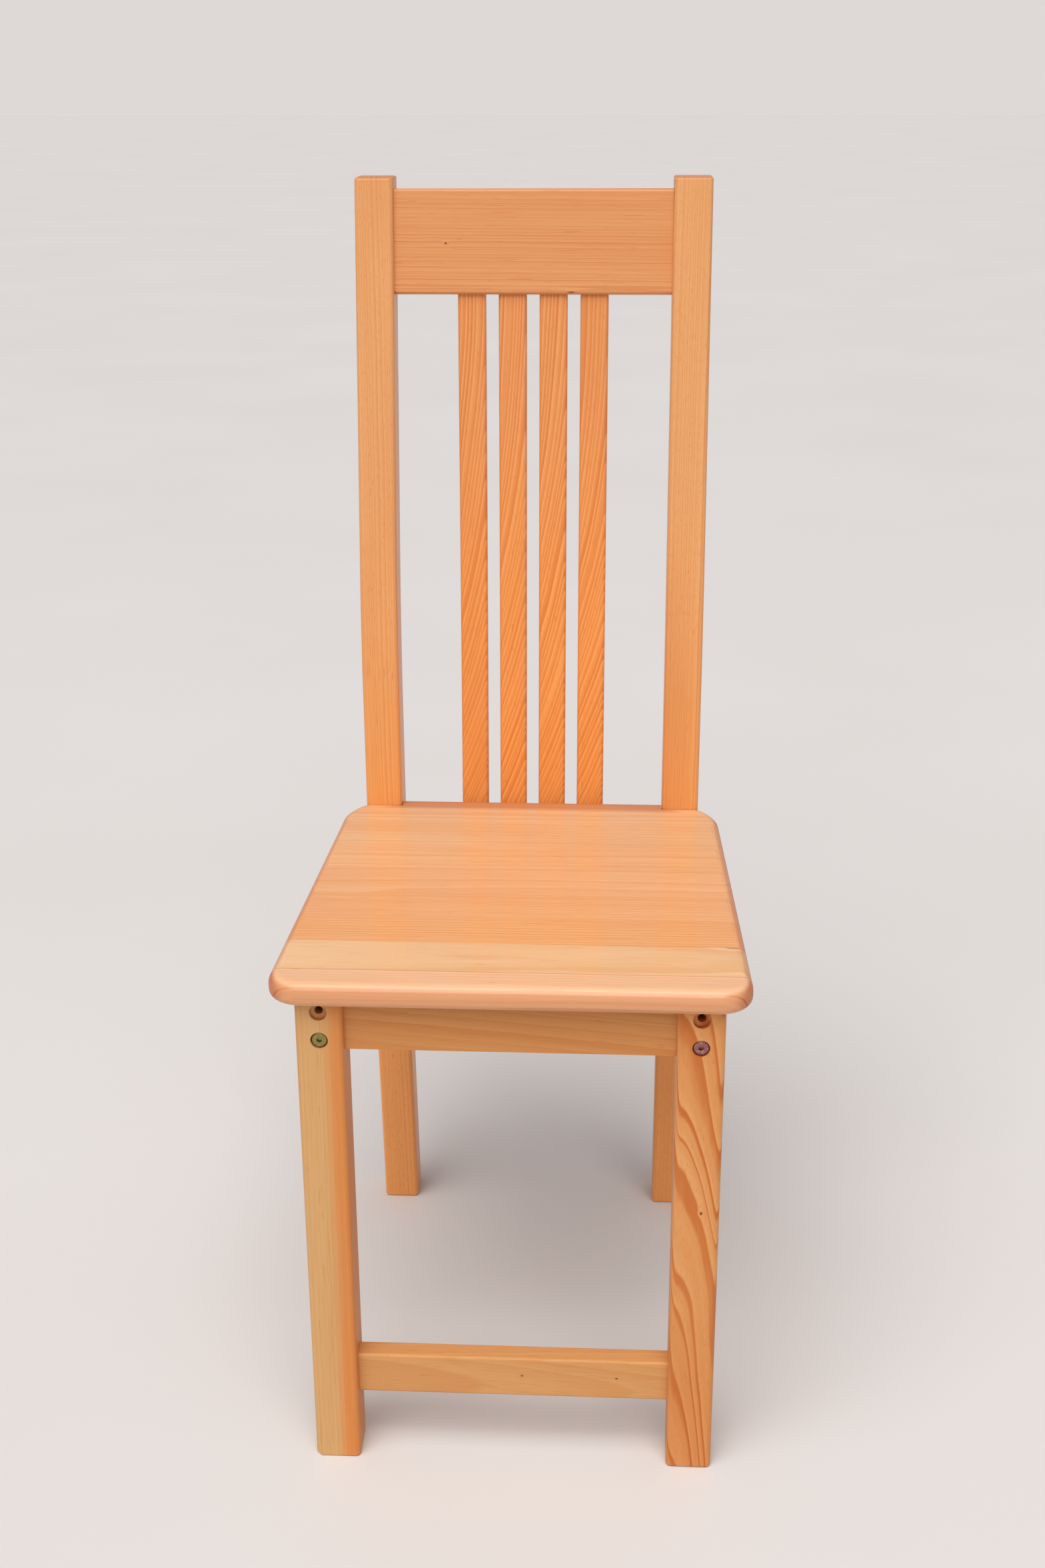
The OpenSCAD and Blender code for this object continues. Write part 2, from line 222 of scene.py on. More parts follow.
# %% The world and the lights
def sky(shown, cast):
    """A plain world: one colour for what the camera sees behind the floor, a softer one as light."""
    world = bpy.data.worlds.new("studio")
    bpy.context.scene.world = world
    world.use_nodes = True
    nodes = Nodes(world.node_tree)
    seen = nodes.add("ShaderNodeLightPath", output="Is Camera Ray")
    colour = nodes.mix(linear(*cast), linear(*shown), seen)
    nodes.feed(nodes.tree.nodes["Background"].inputs["Color"], colour)


def lamp(name, kind, colour, power, **shape):
    """A light of a kind, a colour and a power, which still has to be placed or turned."""
    data = bpy.data.lights.new(name, kind)
    data.color, data.energy = linear(colour)[:3], power
    for key, value in shape.items():
        setattr(data, key, value)
    light = bpy.data.objects.new(name, data)
    bpy.context.scene.collection.objects.link(light)
    return light


WINDOW_HEIGHT, WINDOW_LEFT, WINDOW_SPREAD = 58, 14, 55  # degrees up, degrees left of the front, width
STRIP_PLACE, STRIP_AIM = Vector((0.3, -1.4, 2.6)), Vector((0, 0, 0.5))

bpy.context.scene.view_settings.view_transform = "Standard"
sky(shown=("#DED9D7", 1.0), cast=("#E4E2E4", 0.50))
window = lamp("window", "SUN", "#FFFCF8", 2.52, angle=math.radians(WINDOW_SPREAD))
window.rotation_euler = (math.radians(90 - WINDOW_HEIGHT), 0, math.radians(-WINDOW_LEFT))
strip = lamp("strip", "AREA", "#FFFFFF", 6, shape="RECTANGLE", size=2.0, size_y=0.2)
strip.location = STRIP_PLACE
strip.rotation_euler = (STRIP_AIM - STRIP_PLACE).to_track_quat("-Z", "Y").to_euler()
print("lights:", window.name, "and", strip.name)

# %% [markdown]
# ## Pine: rings, knots and seasons
# A pine board is cut out of a log. Each year's ring starts pale, turns slowly darker, and stops at once
# where the next spring began. An image could be wrapped round each stick, but its lines would not meet
# at the edges as real grain does. So the wood is worked out all through: a ring is a ramp along the
# distance from the log's axis, with a sharp drop at its end, and every face shows its own cut of it.
# The axis is set per piece: beside the face it gives straight quarter-sawn lines, and behind the face
# the arches of a flat-sawn board. A slow noise bends the rings, a second one makes the years wide and
# narrow, and a trunk that curved can bow them along its length. Knots push the rings aside.

# %% Rings, knots and seasons
def rings(f, wood, own, ring, bow, bend, spread, seed):
    """The distance from the log's axis in metres, and the same distance counted in years."""
    wander = f.vector("SUBTRACT", f.noise(own, spread, 1.5, "Color"), (0.5, 0.5, 0.5))
    bent = f.vector("MULTIPLY_ADD", wander, (bend * MM * 2, bend * MM * 2, 0), wood)
    radius = f.vector("LENGTH", f.vector("MULTIPLY", bent, (1, 1, 0)), output="Value")
    if bow:
        along = f.axis(wood, "Z")
        radius = radius + along * along * bow
    good_years = f.add("ShaderNodeTexNoise", {"noise_dimensions": "1D"},
                       {"W": radius + seed * 0.37, "Scale": 70.0})
    ripple = f.noise(own, (70, 70, 8), 2.0)
    return radius, radius / ring + good_years * 3.5 + ripple * 0.3


def knotted(f, place, years, knots):
    """The years pushed aside by the knots, and a mask of the knots' dark cores, or None."""
    cores = None
    for spot, size, across, dark in knots:
        offset = f.vector("MULTIPLY", f.vector("SUBTRACT", place, spot), across)
        away = f.vector("LENGTH", offset, output="Value")
        near = 1 / (1 + (away / (size * 2.0)) ** 2)
        years = years + near * near * 0.5
        core = dark - f.step(away, size * 0.45, size * 1.1) * dark
        cores = core if cores is None else f.maths("MAXIMUM", cores, core)
    return years, cores


def seasons(f, years, late, soft, vary, seed):
    """Masks of the dark late wood and of the pale spring wood. No two years are equally dark."""
    part = f.maths("FRACT", years)
    luck = f.add("ShaderNodeTexWhiteNoise", {"noise_dimensions": "1D"},
                 {"W": f.maths("FLOOR", years) + seed * 13.0})
    band = f.step(part, 1 - late * (1 + soft), 1 - late * (1 - soft))
    band = band * (1 - f.step(part, 0.9 + 0.1 * soft, 1.0)) * (1 - luck * vary)
    spring = (1 - f.step(part, 0.0, 0.5)) * f.step(part, 0.0, 0.03)
    return band, spring


print("helpers for rings, knots and seasons are ready")

# %% [markdown]
# ## Pine: colour and lacquer
# The colours are laid over one another as a polisher would see them: the tone of the board in its
# rings, heartwood, a lower end with a tone of its own, cloudy patches, fine fibres and short resin
# dashes. On the posts and slats the lower tone is painted light, the orange glow bounced from the seat.
# The ends of the fibres drink more lacquer, so end grain is darker and duller. The seat's rim is painted
# darker where it turns away from the top, as painted shade. Painting those places by hand would take
# masks, so the mesh carries both as attributes. A satin lacquer lies over the wood as the coat.

# %% The pine finish
PALE, DARK, RESIN = (1.06, 1.13, 1.25), (0.90, 0.73, 0.58), (0.80, 0.56, 0.40)
KNOT_BROWN = "#6E3214"
FIBRES, DASHES, CLOUDS = (1100, 1100, 16), (1300, 1300, 40), (16, 16, 2.4)
HEART_EDGE, GLUE_WIDTH = 6 * MM, 0.9 * MM


def toned(tone, shift, strength=1.0):
    """A hex code's linear colour, each channel shifted by its factor, more or less strongly."""
    return [min(1.0, c * k ** strength) for c, k in zip(linear(tone), shift)] + [1.0]


def pine(name, log, turn, ring, tone, heart=None, foot=None, contrast=1.0, late=0.3, soft=0.65, bow=0,
         bend=5, spread=(5, 5, 1.3), vary=0.75, seed=0, gloss=0.25, thirst=0.6, knots=(), glue=()):
    """Lacquered pine.

    log, turn: a point on the log's axis, and the axis's turn in degrees from +Z
    ring, tone: the width of a year in metres, and the colour of the wood between its lines
    heart: the radius and the tone of the heartwood
    foot: a tone for the lower end, and the heights between which it fades out
    contrast, late, soft: how dark the late wood is, its share of a year, and how slowly it sets in
    bow: how much the trunk curved, as the rings' shift per metre squared
    bend, spread: how far the rings wander in millimetres, and how often in a metre along each axis
    vary, seed: how unlike the years are, and which board of the stack this is
    gloss, thirst: how much lacquer lies on the faces, and how much the end grain drinks
    knots: the place, size, stretch and darkness of each
    glue: the level in y and the darkness of each glue line"""
    f = Finish(name, coat_roughness=0.13, coat_ior=1.45, specular_ior_level=gloss)
    place = f.add("ShaderNodeTexCoord", output="Object")
    wood = f.add("ShaderNodeMapping", {"vector_type": "TEXTURE"},
                 {"Vector": place, "Location": log, "Rotation": [math.radians(a) for a in turn]})
    own = f.vector("ADD", wood, (seed * 1.7, seed * 0.9, seed * 2.3))
    radius, years = rings(f, wood, own, ring, bow, bend, spread, seed)
    years, cores = knotted(f, place, years, knots)
    band, spring = seasons(f, years, late, soft, vary, seed)

    hairs = f.noise(own, FIBRES, 3.0)
    dashes = f.step(f.noise(own, DASHES, 0.0), 0.74, 0.8)
    cloud = f.noise(own, CLOUDS, 2.0)
    end = f.add("ShaderNodeAttribute", {"attribute_name": "end_grain"}, output="Fac")
    # painted shade: the seat's rim is darkened where it turns away from the top
    routed = f.add("ShaderNodeAttribute", {"attribute_name": "routed"}, output="Fac")
    ends = f.step(end, 0.1, 0.6) * thirst
    end_grain_and_rim_shade = f.maths("MAXIMUM", ends, f.step(routed, 0.15, 0.4))

    def shades(base):
        """The wood's colour in the ring pattern, for one base tone."""
        body = f.mix(linear(base), toned(base, PALE, contrast ** 0.5), spring * 0.8)
        return f.mix(body, toned(base, DARK, contrast), band)

    colour = shades(tone)
    if heart is not None:
        reach, core_tone = heart
        outside = f.step(radius + (cloud - 0.5) * (2 * HEART_EDGE), reach - HEART_EDGE, reach + HEART_EDGE)
        colour = f.mix(colour, shades(core_tone), 1 - outside)
    if foot is not None:
        foot_tone, low, high = foot
        colour = f.mix(shades(foot_tone), colour, f.step(f.axis(place, "Z"), low, high))
    colour = f.mix(colour, toned(tone, DARK, 1.1), f.step(cloud, 0.4, 0.75) * 0.4)
    colour = f.mix(colour, toned(tone, RESIN), f.step(hairs, 0.45, 0.8) * 0.3)
    colour = f.mix(colour, toned(tone, RESIN, 1.2), dashes * 0.45)
    # end grain soaks up lacquer, and the seat's rim is painted darker as shade, in this same tone
    soaked_and_shaded = toned(tone, RESIN, 1.0 + contrast * 0.3)
    colour = f.mix(colour, soaked_and_shaded, end_grain_and_rim_shade * (0.7 + band * 0.3))
    colour = f.mix(colour, toned(tone, RESIN, 3.0), ends * (0.5 + band * 0.5))
    for level, dark in glue:
        off = f.maths("ABSOLUTE", f.axis(place, "Y") - level)
        colour = f.mix(colour, toned(tone, RESIN, 1.4), (1 - f.step(off, 0.0, GLUE_WIDTH)) * dark)
    if cores is not None:
        colour = f.mix(colour, linear(KNOT_BROWN), cores)

    relief = band * 0.15 + hairs * 0.3
    bump = f.add("ShaderNodeBump", None, {"Strength": 0.1, "Distance": 0.5 * MM, "Height": relief})
    return f.wear(base_color=colour, roughness=0.36 + hairs * 0.12 + end * 0.12,
                  coat_weight=gloss - ends * (gloss * 0.8), normal=bump)


print("late wood keeps", DARK, "and resin", RESIN, "of the tone's red, green and blue")

# %% [markdown]
# ## From CAD solid to eased timber
# The CAD timbers have their tenons, mortises and bores already, but their edges are sharp. A joiner
# runs a rounding bit along the long edges before assembly. A Bevel modifier would round every edge,
# those of the joints too, so we do as the joiner does: a copy of the CAD mesh is merged into whole
# faces, its arrises are found, and only they are bevelled. An arris is an outside edge that runs with
# the grain between two faces as wide as the timber; that leaves out tenons and mortises.

# %% Copy, find the arrises and round them
def timber(node):
    """A bmesh copy of a CAD node, its loose triangles merged into whole faces."""
    form = bmesh.new()
    form.from_mesh(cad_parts[node].data)
    bmesh.ops.remove_doubles(form, verts=form.verts[:], dist=0.005 * MM)
    bmesh.ops.dissolve_limit(form, angle_limit=math.radians(0.2), verts=form.verts[:], edges=form.edges[:])
    return form


def plane_of(face):
    """A key that coplanar faces share."""
    return (*(round(c, 2) for c in face.normal), round(face.normal.dot(face.verts[0].co), 4))


def plane_widths(form, grain):
    """How wide each plane of the form is across the grain, however many faces it is split into."""
    spans = {}
    for face in form.faces:
        flat = [v.co - grain * v.co.dot(grain) for v in face.verts]
        low, high = spans.get(plane_of(face), (flat[0], flat[0]))
        low = Vector(map(min, low, *flat))
        high = Vector(map(max, high, *flat))
        spans[plane_of(face)] = (low, high)
    return {key: (high - low).length for key, (low, high) in spans.items()}


def rounded(form, geom, radius, segments, affect="EDGES", clamp=False):
    """Bevels edges or corners into an arc."""
    bmesh.ops.bevel(form, geom=geom, offset=radius, offset_type="OFFSET", affect=affect,
                    segments=segments, profile=0.5, material=-1, clamp_overlap=clamp)


def ease(form, grain, thickness, radius):
    """Rounds the arrises of a timber."""
    widths = plane_widths(form, grain)
    arrises = [
        e for e in form.edges
        if len(e.link_faces) == 2 and e.is_convex and e.calc_face_angle() > 1
        and abs((e.verts[1].co - e.verts[0].co).normalized().dot(grain)) > 0.9
        and all(widths[plane_of(face)] > 0.9 * thickness for face in e.link_faces)
    ]
    rounded(form, arrises, radius, segments=5, clamp=True)


def ease_end(form, axis, level, radius):
    """Rounds the edges of a free end, which lie at one level along an axis."""
    rim = [e for e in form.edges if all(abs(v.co.dot(axis) - level) < 0.02 * MM for v in e.verts)
           and len(e.link_faces) == 2 and e.calc_face_angle() > 0.6]
    rounded(form, rim, radius, segments=3, clamp=True)


sample = timber("front_stretcher")
print("the stretcher's triangles merge into", len(sample.faces), "whole faces")
sample.free()

# %% [markdown]
# ## Handing a piece over
# A finished form becomes an object at the origin, with its place in its mesh. Faces that meet softly
# are shaded smooth and sharp ones aren't, and a Weighted Normal modifier keeps the wide flats flat.
# Where end grain begins could be guessed in the shader from the normal, but the mesh knows each piece's
# grain, so every corner of a face keeps how squarely it cuts the grain, and how far a rim has turned from
# the top, which the finish darkens as painted shade. Then the CAD node the piece stands for is hidden.

# %% Finish a piece
SHARP = math.radians(32)


def hand_over(name, form, node, finish, grain, rim=0.0):
    """Makes the form a piece that rides on the chair and stands for a CAD node. Where a rim turns
    away from +Z, the mesh keeps how far, for painted shade."""
    end_grain = form.loops.layers.float.new("end_grain")
    routed = form.loops.layers.float.new("routed")
    form.normal_update()
    for face in form.faces:
        face.smooth = True
        for loop in face.loops:
            normal = loop.vert.normal if rim else face.normal
            loop[end_grain] = normal.dot(grain) ** 2
            # painted shade: how far the surface turns away from +Z, scaled by rim
            loop[routed] = rim * (1 - normal.z ** 2)
    for edge in form.edges:
        edge.smooth = len(edge.link_faces) == 2 and edge.calc_face_angle() < SHARP
    mesh = bpy.data.meshes.new(name)
    form.to_mesh(mesh)
    form.free()
    mesh.materials.append(finish)
    piece = bpy.data.objects.new(name, mesh)
    bpy.context.scene.collection.objects.link(piece)
    shading = piece.modifiers.new("even_shading", "WEIGHTED_NORMAL")
    shading.keep_sharp = True
    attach(piece, "root")
    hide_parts(node)
    print(f"{name}: {len(mesh.polygons)} faces for {node}")


# %% [markdown]
# ## The front legs
# Two square legs. The left one is cut on the quarter, so its face is calm and nearly straight-grained,
# with orange heartwood along its inner edge. The right one is flat-sawn: the log's middle lies just
# behind its front face, and wide orange bands climb it. A small pin knot sits half way up. The legs
# could be two plain cubes, but the CAD timbers have the bores and mortises, so they are copied and
# eased, and so are their feet, which would splinter otherwise.

# %% Make the front legs
LEG_ROUND, FOOT_ROUND = 4.5 * MM, 2.0 * MM

left_lo, left_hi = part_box("front_leg_left")
right_lo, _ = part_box("front_leg_right")
leg_size = left_hi[0] - left_lo[0]
leg_front = left_lo[1]
leg_knot = ((right_lo[0] + 0.023, leg_front, 0.254), 0.0014, (1, 0, 0.8), 0.9)

quiet = pine("pine_leg_quiet", log=(left_hi[0] + 0.08, leg_front + 0.05, 0), turn=(0.6, 0.3, 0),
             ring=0.0034, tone="#D4A56F", heart=(0.106, "#D88848"), contrast=0.3, late=0.25, bend=4,
             seed=1, gloss=0.1)
bold = pine("pine_leg_bold", log=(right_lo[0] - 0.002, leg_front + 0.022, 0), turn=(-5.6, 0.0, 0),
            ring=0.0054, tone="#DA985C", foot=("#D28A4E", 0.06, 0.17), contrast=2.8, late=0.28, soft=0.35,
            bend=7, spread=(4, 4, 5.5), vary=0.3, seed=2, gloss=0.12, knots=[leg_knot])

for name, finish in (("front_leg_left", quiet), ("front_leg_right", bold)):
    form = timber(name)
    ease(form, Z, leg_size, LEG_ROUND)
    ease_end(form, Z, 0, FOOT_ROUND)
    hand_over(name + "_eased", form, name, finish, Z)

# %% [markdown]
# ## The rear posts
# Each post is sawn from one board to a bent outline, so the grain runs straight while the outline bends
# away from it. A pattern that followed the outline would look like steamed wood, so the log's axis
# stays upright here too. The rings are narrow and stand nearly square to the face. Towards the floor the
# posts are painted a little more orange: painted light, the glow bounced from the orange seat.

# %% Make the rear posts
POST_ROUND, POST_END_ROUND = 4.0 * MM, 2.5 * MM

post_lo, post_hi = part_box("rear_post_right")
post_width = post_hi[0] - post_lo[0]
for name, side, seed in (("rear_post_left", -1, 3), ("rear_post_right", 1, 4)):
    # the foot tone is painted light: the lower post more orange, as light bounced from the seat makes it
    finish = pine("pine_" + name, log=(side * 0.75, post_lo[1] + 0.02, 0), turn=(0, 0.5 * side, 0),
                  ring=0.0027, tone="#DE9F66", foot=("#F0A15A", 0.35, 0.8), contrast=0.7, late=0.28,
                  bend=2.5, seed=seed, thirst=0.25)
    form = timber(name)
    ease(form, Z, post_width, POST_ROUND)
    ease_end(form, Z, 0, FOOT_ROUND)
    ease_end(form, Z, post_hi[2], POST_END_ROUND)
    hand_over(name + "_eased", form, name, finish, Z)

# %% [markdown]
# ## Aprons and stretcher
# The rails of the seat frame and the low stretcher. They differ only in their numbers, so they are rows
# of one list and one loop makes them all. Their grain runs along them, and the side aprons run towards
# the back, so theirs lies along Y. The stretcher is a paler stick with two small knots.

# %% Make the aprons and the stretcher
RAIL_ROUND = 2.5 * MM

apron_lo, apron_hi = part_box("front_apron")
rod_lo, rod_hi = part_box("front_stretcher")
apron_thickness = apron_hi[1] - apron_lo[1]
rod_thickness = rod_hi[1] - rod_lo[1]
pins = [((x, rod_lo[1], rod_hi[2] - 0.017), 0.0011, (0.7, 0, 1), 0.8) for x in (0.008, 0.088)]
rail_jobs = [
    # node, grain, thickness, log, its turn, year in mm, tone, contrast, seed, knots
    ("front_apron", X, apron_thickness, (0, apron_lo[1] + 0.05, apron_lo[2] - 0.01), (0, 93.5, 1),
     4.5, "#CE8E54", 0.55, 5, ()),
    ("rear_apron", X, apron_thickness, (0, post_hi[1] + 0.05, apron_lo[2] - 0.03), (0, 89.2, 0),
     3.6, "#CE9058", 0.9, 6, ()),
    ("front_stretcher", X, rod_thickness, (0, rod_lo[1] + 0.06, rod_lo[2] + 0.012), (0, 91.8, 1.5),
     4.8, "#D0965D", 0.35, 7, pins),
    ("side_apron_left", Y, apron_thickness, (-0.19, 0, apron_lo[2] - 0.04), (-90, 0, 1.5),
     3.8, "#CE9058", 0.9, 8, ()),
    ("side_apron_right", Y, apron_thickness, (0.21, 0, apron_lo[2] - 0.02), (-90, 0, -1.2),
     3.4, "#CE9058", 0.9, 9, ()),
]
for name, grain, thickness, log, turn, year, tone, contrast, seed, knots in rail_jobs:
    finish = pine("pine_" + name, log=log, turn=turn, ring=year * MM, tone=tone, contrast=contrast,
                  bend=7, seed=seed, gloss=0.12, knots=knots)
    form = timber(name)
    ease(form, grain, thickness, RAIL_ROUND)
    hand_over(name + "_eased", form, name, finish, grain)

# %% [markdown]
# ## The top rail
# One wide board between the posts, with fine, nearly level lines, a pin knot near its left end and a
# short dark streak at its lower edge. It leans with the back, so its thickness can't be read off its
# box and is given by name.

# %% Make the top rail
TOP_THICKNESS, TOP_ROUND = 22 * MM, 3 * MM

top_lo, top_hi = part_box("top_rail")
rail_front = top_lo[1]
top_marks = [((-0.077, rail_front, top_hi[2] - 0.046), 0.0013, (1, 0, 1), 0.9),
             ((0.034, rail_front, top_lo[2] + 0.005), 0.0010, (0.25, 0, 1), 0.7)]
finish = pine("pine_top_rail", log=(0, rail_front + 0.02, top_lo[2] - 0.16), turn=(0.3, 90.25, 0),
              ring=0.0038, tone="#D8945D", contrast=1.0, late=0.2, bend=3.5, vary=0.95, seed=10,
              knots=top_marks)
form = timber("top_rail")
ease(form, X, TOP_THICKNESS, TOP_ROUND)
hand_over("top_rail_eased", form, "top_rail", finish, X)

# %% [markdown]
# ## The slats
# Four thin sticks from a trunk that curved, so their lines stand nearly upright at the top and slant
# more and more lower down. One slat could be copied four times, but four equal grains side by side
# would look printed, so each slat has its own seed.

# %% Make the slats
SLATS, SLAT_THICKNESS, SLAT_ROUND = 4, 12 * MM, 3.2 * MM

for number in range(1, SLATS + 1):
    name = f"slat_{number}"
    lo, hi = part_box(name)
    lean = (hi[1] - lo[1] - SLAT_THICKNESS) / (hi[2] - lo[2])
    # the foot tone is painted light: the lower slats more orange, as light bounced from the seat makes them
    finish = pine("pine_" + name, log=(lo[0] - 0.16, (lo[1] + hi[1]) / 2 + 0.15, 0.93), turn=(0, -4, 0),
                  bow=0.3, ring=0.0028, tone="#E4995C", foot=("#EF9C50", 0.6, 0.9), contrast=1.5, late=0.5,
                  soft=0.8, bend=7, spread=(6, 6, 2.5), vary=0.5, seed=10 + number)
    form = timber(name)
    ease(form, Vector((0, lean, 1)).normalized(), SLAT_THICKNESS, SLAT_ROUND)
    hand_over(name + "_eased", form, name, finish, Z)

# %% [markdown]
# ## The seat
# The seat is a panel glued up from eight staves and only then cut to shape and rounded, so the round
# edge runs on from one stave to the next. Eight eased boards side by side would be quicker to make, but
# would show eight rounded edges, so we work in the joiner's order. Four corners make a face, its
# corners are bevelled into arcs, the face is extruded to the seat's thickness and both rims are
# rounded. Then the notches for the posts are cut, and the panel is parted at the glue lines.

# %% Shape the seat panel
SEAT_TOP_ROUND, SEAT_BOTTOM_ROUND = 9 * MM, 6.5 * MM
FRONT_CORNER, REAR_CORNER = 28 * MM, 46 * MM

boards = [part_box(f"seat_board_{n}") for n in range(1, 9)]
front_lo, front_hi = boards[0]
_, rear_hi = boards[-1]
seat_front, seat_rear = front_lo[1], rear_hi[1]
seat_bottom, seat_top = front_lo[2], front_hi[2]


def side_line(one, other):
    """Half the seat's width as a straight line in y, through the front corners of two boards."""
    (_, y1, _), (w1, _, _) = one
    (_, y2, _), (w2, _, _) = other
    slope = (w2 - w1) / (y2 - y1)
    return lambda y: w1 + slope * (y - y1)


half_width = side_line(boards[2], boards[5])
panel = bmesh.new()
corners = [panel.verts.new((side * half_width(y), y, seat_bottom))
           for side, y in ((-1, seat_front), (1, seat_front), (1, seat_rear), (-1, seat_rear))]
panel.faces.new(corners)
for radius, y in ((FRONT_CORNER, seat_front), (REAR_CORNER, seat_rear)):
    pair = [v for v in panel.verts if abs(v.co.y - y) < MM]
    rounded(panel, pair, radius, segments=14, affect="VERTICES")
lift = bmesh.ops.extrude_face_region(panel, geom=panel.faces[:])
bmesh.ops.translate(panel, vec=(0, 0, seat_top - seat_bottom),
                    verts=[v for v in lift["geom"] if isinstance(v, bmesh.types.BMVert)])
bmesh.ops.recalc_face_normals(panel, faces=panel.faces[:])
for level, radius in ((seat_top, SEAT_TOP_ROUND), (seat_bottom, SEAT_BOTTOM_ROUND)):
    rim = [e for e in panel.edges if all(abs(v.co.z - level) < 0.01 * MM for v in e.verts)]
    rounded(panel, rim, radius, segments=7)
print("seat panel:", len(panel.faces), "faces")

# %% [markdown]
# The posts pass through the seat in two square notches. Their corners would be hard to draw into the
# rounded outline, so they are cut with a Boolean: the panel less a block. A small helper carves one
# form out of another and gives back a new form.

# %% Carve one form out of another
def carve(form, tool):
    """The form less the tool, as a new bmesh."""
    objects = []
    for part in (form, tool):
        mesh = bpy.data.meshes.new("carving")
        part.to_mesh(mesh)
        part.free()
        objects.append(bpy.data.objects.new("carving", mesh))
        bpy.context.scene.collection.objects.link(objects[-1])
    cut = objects[0].modifiers.new("cut", "BOOLEAN")
    cut.operation, cut.solver, cut.object = "DIFFERENCE", "EXACT", objects[1]
    result = bmesh.new()
    result.from_object(objects[0], bpy.context.evaluated_depsgraph_get())
    for item in objects:
        bpy.data.meshes.remove(item.data)
    return result


def block(low, high):
    """A plain block between two corners, for cutting with."""
    form = bmesh.new()
    size = Vector(high) - Vector(low)
    middle = (Vector(high) + Vector(low)) / 2
    bmesh.ops.create_cube(form, size=1, matrix=Matrix.Translation(middle) @ Matrix.Diagonal((*size, 1)))
    return form


SEAT_GAP, PAST = 0.6 * MM, 10 * MM  # room round a post, and how far a cutter reaches past the wood

_, side_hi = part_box("side_apron_right")
post_face = side_hi[1]
for side in (-1, 1):
    left, right = sorted((side * (post_lo[0] - SEAT_GAP), side * (post_hi[0] + SEAT_GAP)))
    panel = carve(panel, block((left, post_face - SEAT_GAP, seat_bottom - PAST),
                               (right, seat_rear + PAST, seat_top + PAST)))
print("notched panel:", len(panel.faces), "faces")

# %% [markdown]
# Each stave is its own piece of wood, with its own log. The front stave and the second are pale, the
# third and fourth are strongly striped, and the rest are calmer. One material with wide stripes could
# stand for them all, but real staves also differ in their grain. The panel is cut at both sides of a
# stave with a bisecting plane, each cut is closed with a face, and its edge is broken a little on top,
# because the glue line can just be felt there.

# %% Part the panel into staves
STAVES = [
    # tone, contrast, ring in mm, dark share, log: y and z from the stave's middle in mm, bend in mm,
    # and how dark the glue line behind the stave is
    ("#EBB98F", 0.5, 3.6, 0.35, (-70, -50), 5, 0.8),
    ("#EABD8D", 0.5, 6.5, 0.25, (6, -95), 8, 0.35),
    ("#EAA96E", 1.25, 2.6, 0.32, (-60, -50), 3, 0.15),
    ("#EAAB74", 1.05, 2.9, 0.32, (70, -42), 3, 0.3),
    ("#EAAC78", 0.45, 3.8, 0.25, (-30, -90), 5, 0.15),
    ("#EAAE79", 0.45, 4.2, 0.25, (25, -80), 5, 0.3),
    ("#E8B27F", 0.55, 3.4, 0.25, (-50, -60), 4, 0.15),
    ("#E5B07F", 0.45, 3.8, 0.25, (20, -90), 5, 0.0),
]
JOINT_EASE = 0.25 * MM
_, second_hi = boards[1]
CHECK = ((0.176, second_hi[1] - MM, 0), 0.0016, (0.22, 1, 0), 0.5)  # a short dark crack at its right end


def stave(panel, low, high):
    """A copy of the panel between two planes across Y."""
    form = panel.copy()
    for level, normal in ((low, -Y), (high, Y)):
        if seat_front + MM < level < seat_rear - MM:
            whole = form.verts[:] + form.edges[:] + form.faces[:]
            cut = bmesh.ops.bisect_plane(form, geom=whole, dist=1e-7, plane_co=(0, level, 0),
                                         plane_no=normal, clear_outer=True)
            rim = [e for e in cut["geom_cut"] if isinstance(e, bmesh.types.BMEdge)]
            bmesh.ops.edgeloop_fill(form, edges=rim)
            line = [e for e in rim if e.is_valid and all(v.co.z > seat_top - 0.01 * MM for v in e.verts)]
            rounded(form, line, JOINT_EASE, segments=2)
    bmesh.ops.recalc_face_normals(form, faces=form.faces[:])
    return form


line_before = 0.0
for number, (tone, contrast, year, late, log, bend, line) in enumerate(STAVES, 1):
    low, high = boards[number - 1]
    log_y, log_z = (low[1] + high[1]) / 2 + log[0] * MM, seat_top + log[1] * MM
    finish = pine(f"pine_stave_{number}", log=(0.02 * number, log_y, log_z),
                  turn=(0.25, 90 + 0.5 * (-1) ** number, 0), ring=year * MM, tone=tone,
                  contrast=contrast, late=late, bend=bend, spread=(4, 4, 1.6), seed=20 + number,
                  gloss=0.38, thirst=1.0, glue=[(high[1], line), (low[1], line_before)],
                  knots=[CHECK] if number == 2 else ())
    line_before = line
    form = stave(panel, low[1], high[1])
    # rim=0.55 darkens the seat's rounded rim as painted shade where it turns away from the top
    hand_over(f"seat_stave_{number}", form, f"seat_board_{number}", finish, X, rim=0.55)
panel.free()

# %% [markdown]
# ## Steel
# The bolts, nuts and screws are plated steel with a yellow passivation film. The film is so thin that
# it shows interference colours, which drift from green-gold on the left of the chair to a pinkish
# violet on its right. Real thin-film optics would be a heavy way to get there, so two tones are mixed
# by a slow noise and by the place from left to right, with paler flecks over them.

# %% The plated finish
GREEN_GOLD, VIOLET, FLECK = "#96894F", "#A0686F", "#D8CFA8"


